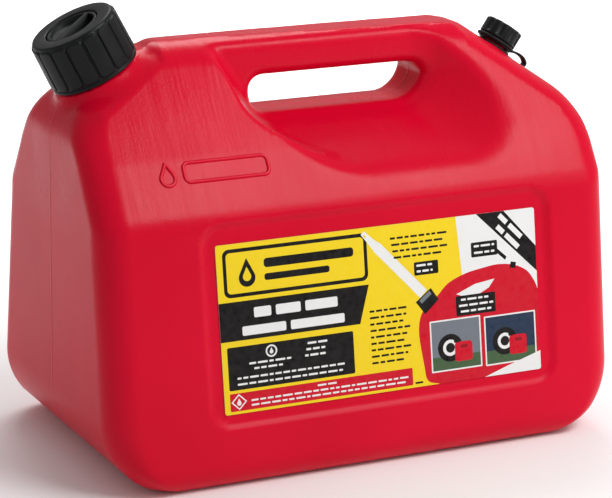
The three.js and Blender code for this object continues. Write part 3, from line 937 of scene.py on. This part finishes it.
def tether():
    """The flexible strap: a ring round the neck, a ring round the cap, and a band looped between them."""
    width, band = 5.4, 1.5
    rings = []
    for inner, outer, low, high in STRAP_RINGS:
        profile = soften([(inner, low, 0.3), (outer, low, 0.55), (outer, high, 0.55), (inner, high, 0.3)], 4)
        rings.append(mesh_object("strap_ring", revolve(profile, turns(96)), VENT_PLACE))
    section = box(-width / 2, -band / 2, width / 2, band / 2, 0.5, 3)
    path = smooth_path(STRAP_ROUTE, 8)
    sections = []
    for i, point in enumerate(path):
        along = (path[min(i + 1, len(path) - 1)] - path[max(i - 1, 0)]).normalized()
        lift = Vector((-along.y, along.x))
        sections.append([(point.x + lift.x * up, across, point.y + lift.y * up) for across, up in section])
    strap = mesh_object("vent_strap", sweep(sections), VENT_PLACE)
    combine(strap, rings, "UNION")
    finish_piece(strap, None, ["vent_tether"], "soft_black_plastic", 50)
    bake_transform(strap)


# ------------------------ labels

INKS = {
    "yellow": (0.83, 0.60, 0.015), "black": (0.007, 0.006, 0.006), "white": (0.76, 0.76, 0.75),
    "red": (0.56, 0.005, 0.02), "grey": (0.16, 0.18, 0.21), "dark_blue": (0.02, 0.035, 0.07),
    "green": (0.06, 0.11, 0.05), "dark_red": (0.26, 0.004, 0.01),
}
LABEL_LEFT, LABEL_LOW, LABEL_WIDTH, LABEL_HEIGHT = -95.5, 45.4, 211, 100
LABEL_THICKNESS, LABEL_GAP = 0.4, 0.3


def bar(left, middle, right, thickness):
    """A bar with rounded ends, round its middle line."""
    return box(left, middle - thickness / 2, right, middle + thickness / 2, thickness * 0.3)


def disc(u, v, radius):
    """A round spot."""
    return [(u + radius * math.cos(angle), v + radius * math.sin(angle)) for angle in turns(28)]


def anticlockwise(outline):
    """The outline, turned round if it runs clockwise."""
    ahead = outline[1:] + outline[:1]
    area = sum(u * next_v - next_u * v for (u, v), (next_u, next_v) in zip(outline, ahead))
    return outline if area > 0 else outline[::-1]


def words(ink, left, middle, right, thickness, seed):
    """A row of short bars with gaps, in place of a line of small print."""
    pick = np.random.default_rng(seed)
    shapes = []
    while left < right - 1.5:
        length = min(float(pick.uniform(2.2, 6.5)), right - left)
        shapes.append((ink, bar(left, middle, left + length, thickness)))
        left += length + 1.1
    return shapes


def label_art():
    """The label's shapes as (ink, outline), later ones over earlier ones, from its lower left corner."""
    art = [("yellow", box(0, 0, LABEL_WIDTH, LABEL_HEIGHT))]
    art += maker_panel()
    art += picture_panel()
    art += warning_strip()
    return art


def maker_panel():
    """The framed emblem over two black panels."""
    art = [
        ("black", box(4, 68.5, 97, 97, 4)), ("yellow", box(6.2, 70.7, 94.8, 94.8, 2.4)),
        ("black", drop(19, 82.5, 17)), ("yellow", drop(19, 81.6, 8.5)),
        ("black", box(30, 84, 88, 89.5, 2)), ("black", box(30, 76.5, 72, 80.5, 1.5)),
        ("black", [(0, 43), (90, 43), (97, 66), (0, 66)]),
        ("black", box(3.5, 14, 85, 39.5, 1)),
    ]
    for left, right in ((22, 33), (36, 52), (55, 76)):
        art.append(("white", box(left, 55.5, right, 61.5, 1)))
    for left, right in ((14, 42), (45, 80)):
        art.append(("white", box(left, 45.5, right, 51, 1)))
    art += [("white", disc(31.6, 34.6, 3.7)), ("black", disc(31.6, 34.6, 2.7))]
    art += [("white", drop(31.6, 34.8, 3.8))]
    art += words("white", 17, 28.8, 44, 1.2, 1) + words("white", 20, 25.6, 41, 1.2, 2)
    for row, left in ((36, 55), (32.4, 54), (28.8, 53)):
        art += words("white", left, row, 68, 1.3, int(left))
    return art + words("white", 9, 20.8, 79, 1.2, 3) + words("white", 9, 17.2, 77, 1.2, 4)


def warning_strip():
    """The red strip along the foot, with a diamond sign."""
    art = [("red", box(3.5, 1.6, 123, 12.2, 0.8)), ("white", [(9.2, 2.2), (14.2, 7), (9.2, 11.8), (4.2, 7)]),
           ("red", [(9.2, 3.2), (13.1, 7), (9.2, 10.8), (5.3, 7)]), ("white", drop(9.2, 7, 4.4))]
    return art + words("white", 60, 10, 74, 1.1, 5) + words("white", 17, 7, 120, 1.1, 6) \
        + words("white", 17, 4.2, 118, 1.1, 7)


def small_picture(left, low, right, high, sky):
    """A framed generic picture of a small red can on the ground in front of a dark shape."""
    middle, edge = (left + right) / 2, 0.9
    return [
        ("white", box(left, low, right, high, 0.6)),
        (sky, box(left + edge, low + edge, right - edge, high - edge)),
        ("green", box(left + edge, low + edge, right - edge, low + 9)),
        ("black", disc(middle - 4, low + 14, 8.5)), ("white", disc(middle - 4, low + 14, 5)),
        ("black", disc(middle - 4, low + 14, 3)),
        ("red", box(middle - 1, low + 5, middle + 11, low + 17, 2)),
        ("dark_red", box(middle + 3, low + 13, middle + 8, low + 15, 0.9)),
        ("black", box(middle - 1.4, low + 16.6, middle + 1.8, low + 19, 0.5)),
    ]


def picture_panel():
    """The drawing of the can with its spout out, two small pictures, name tags and a corner ribbon."""
    right, high = LABEL_WIDTH, LABEL_HEIGHT
    crest = smooth_path([(136, 50), (142, 53.5), (150, 60.5), (162, 65), (174, 67), (184, 68), (195, 66.5),
                         (204, 62), (209, 55), (right, 50)], 4)
    front_end = smooth_path([(141, 0), (133, 3), (131, 12.7), (128.6, 31.8), (130.5, 43), (136, 50)], 4)[:-1]
    art = [
        ("white", [(157, high), (160, 58), (right, 50), (right, high)]),
        ("black", [(171, high), (190, high), (right, 76.5), (right, 61)]),
        ("white", [(93.4, 96), (95.6, 98), (101.5, 92.5), (106.3, 89.2), (135.3, 58.2), (130.7, 53.8),
                   (101.7, 84.8), (98.5, 89.5)]),
        ("yellow", [(94.7, 95.3), (95.6, 95.9), (97, 94.6), (96.2, 93.7)]),
        ("red", crest + [(right, 9), (188, 4.5), (172, 0)] + front_end),
        ("black", [(127.5, 51.5), (138, 59), (143, 51.5), (133.5, 43.5)]),
        ("grey", [(130, 52.2), (137, 57.4), (138.4, 55.4), (131.5, 50.2)]),
        ("white", [(155, 53), (168, 57.8), (181.5, 59.5), (177.5, 54.6), (171, 51.6), (161, 50.8)]),
        ("black", [(192.2, 65), (193.4, 68.6), (197, 67.8), (196.2, 64.2)]),
        ("black", box(166.5, 74, 184.5, 83, 0.8)),
        ("black", [(183, 76), (189.5, 70), (190.6, 72), (184, 78)]),
        ("black", box(127.5, 67.5, 143.8, 75.6, 0.8)), ("black", box(154.5, 39.5, 181.5, 51.7, 0.8)),
    ]
    for left, middle, end, seed in (
            (168.5, 80.6, 182.5, 8), (168.5, 76.6, 182.5, 9), (129.2, 73.4, 142, 10), (129.2, 69.9, 140, 11),
            (158, 49.2, 178, 12), (156.5, 45.6, 180, 13), (157.5, 42, 178.5, 14)):
        art += words("white", left, middle, end, 1.3, seed)
    art += [("white", ribbon_bar(*bar_place)) for bar_place in (
        (9.5, 2.9, 7), (21, 2.9, 11.5), (12.5, -3, 6), (23.5, -3, 12))]
    art += small_picture(136, 7, 170.5, 38.5, "grey") + small_picture(173, 6.5, 208.5, 37, "dark_blue")
    art += [("white", [(172, 0), (188, 5), (right, 11.5), (right, 0)])]
    for row in range(4):
        art += words("black", 112.5 + row * 0.6, 91.6 - 3.9 * row, 150.5 - (row % 2) * 3, 1.3, 20 + row)
    for row in range(9):
        art += words("black", 96.5, 49.5 - 3.9 * row, 123 - (row % 3) * 2.2, 1.3, 30 + row)
    return art + words("black", 124.5, 2.6, 132, 1.2, 15)


def ribbon_bar(down, aside, length):
    """A bar on the corner ribbon, at a distance down its slope and to one side of its middle line."""
    slope, side = Vector((0.7, -0.715)), Vector((0.715, 0.7))
    centre = Vector((180.5, LABEL_HEIGHT)) + slope * down + side * aside
    along, across = slope * length / 2, side * 1.6
    return [centre + along * u + across * v for u, v in ((-1, -1), (1, -1), (1, 1), (-1, 1))]


def label_film(name, node, wall_turn):
    """The label as a thin plate whose front is divided along the edges of its printed shapes."""
    outline = box(0, 0, LABEL_WIDTH, LABEL_HEIGHT, 1.5)
    art = label_art()
    points, loops = [], []
    for shape in [outline] + [anticlockwise(shape) for _, shape in art]:
        loops.append(list(range(len(points), len(points) + len(shape))))
        points += [Vector(point) for point in shape]
    flat, _, triangles, _, _, loop_ids = delaunay_2d_cdt(points, [], loops, 1, 1e-4)
    stand = Matrix.Rotation(wall_turn, 4, "Z") @ Matrix.Translation((0, -HALF_WIDTH, 0)) \
        @ Matrix.Rotation(math.pi / 2 - SIDE_LEAN, 4, "X")
    back = -PANEL_DEPTH + LABEL_GAP
    front = back + LABEL_THICKNESS
    work = bmesh.new()
    ink_layer = work.loops.layers.float_color.new("ink")

    def add_face(corners, ink):
        """A face in one ink."""
        face = work.faces.new(corners)
        for loop in face.loops:
            loop[ink_layer] = (*INKS[ink], 1)

    def place(point, level):
        """A corner on the wall, at a level above it."""
        return work.verts.new(stand @ Vector((LABEL_LEFT + point[0], LABEL_LOW + point[1], level)) * MM)

    tops = [place(point, front) for point in flat]
    edge_use = {}
    for triangle, ids in zip(triangles, loop_ids):
        if 0 not in ids:
            continue
        add_face([tops[i] for i in triangle], art[max(ids) - 1][0] if max(ids) > 0 else "white")
        for start, end in zip(triangle, triangle[1:] + triangle[:1]):
            edge_use[(start, end)] = edge_use.get((start, end), 0) + 1
    rim = dict((start, end) for start, end in edge_use if (end, start) not in edge_use)
    order = [next(iter(rim))]
    while rim[order[-1]] != order[0]:
        order.append(rim[order[-1]])
    bottoms = [place(flat[i], back) for i in order]
    for i in range(len(order)):
        ahead = (i + 1) % len(order)
        add_face([tops[order[ahead]], tops[order[i]], bottoms[i], bottoms[ahead]], "white")
    add_face(list(reversed(bottoms)), "white")
    mesh = bpy.data.meshes.new(name)
    work.to_mesh(mesh)
    work.free()
    finish_piece(new_object(name, mesh), "can", [node], "printed_label", 20)


can_shell()
spout_ring()
stopper()
pouring_spout()
washer("spout_washer", "spout", "spout_seal", LOWER_SEAL)
washer("stopper_washer", "stopper", "stopper_seal", UPPER_SEAL)
vent_top()
vent_washer()
tether()
label_film("front_film", "front_label", 0)
label_film("back_film", "back_label", math.pi)

# ------------------------ camera, light and floor

CAMERA_TURN, CAMERA_RISE = -25.12, 15.43       # degrees
CAMERA_PLACE = (-0.691, -1.4777, 0.5603)
CAMERA_LENS = 160.3
ROOM_LIGHT = 0.4


def add_camera():
    """The scene's camera."""
    camera = new_object("camera", bpy.data.cameras.new("camera"))
    camera.data.lens = CAMERA_LENS
    camera.data.clip_end = 20
    camera.rotation_euler = Euler((math.radians(90 - CAMERA_RISE), 0, math.radians(CAMERA_TURN)))
    camera.location = CAMERA_PLACE
    bpy.context.scene.camera = camera


def add_softbox(name, place, target, size, power):
    """A rectangular light that faces a target. size is its width and height in metres, power in watts."""
    light = bpy.data.lights.new(name, "AREA")
    light.shape = "RECTANGLE"
    light.size, light.size_y = size
    light.energy = power
    obj = new_object(name, light)
    obj.location = place
    obj.rotation_euler = (Vector(target) - Vector(place)).to_track_quat("-Z", "Y").to_euler()


def add_floor():
    """A wide pale floor at the height of the can's base."""
    half = 6
    mesh = bpy.data.meshes.new("floor")
    mesh.from_pydata([(-half, -half, 0), (half, -half, 0), (half, half, 0), (-half, half, 0)], [],
                     [(0, 1, 2, 3)])
    mesh.materials.append(new_material("floor_paper", 0.9, Base_Color=(0.95, 0.95, 0.95, 1)))
    floor = new_object("floor", mesh)


def set_world():
    """Even white light from all round."""
    world = bpy.data.worlds.new("world")
    world.use_nodes = True
    background = world.node_tree.nodes["Background"]
    background.inputs["Color"].default_value = (1, 1, 1, 1)
    background.inputs["Strength"].default_value = ROOM_LIGHT
    bpy.context.scene.world = world
    bpy.context.scene.view_settings.view_transform = "Standard"


add_camera()
add_softbox("shoulder_softbox", (0.5, -0.76, 1.04), (0, -0.07, 0.18), (0.8, 0.44), 10)
add_softbox("front_softbox", (1.6, -1.7, 1.1), (0, 0, 0.12), (1.2, 1.2), 8)
add_softbox("top_softbox", (0.35, 1.0, 1.45), (0, 0, 0.1), (0.9, 0.6), 10)
add_softbox("floor_softbox", (0.7, 1.0, 1.2), (0.7, 2.1, 0), (2.2, 0.8), 30)
add_floor()
set_world()
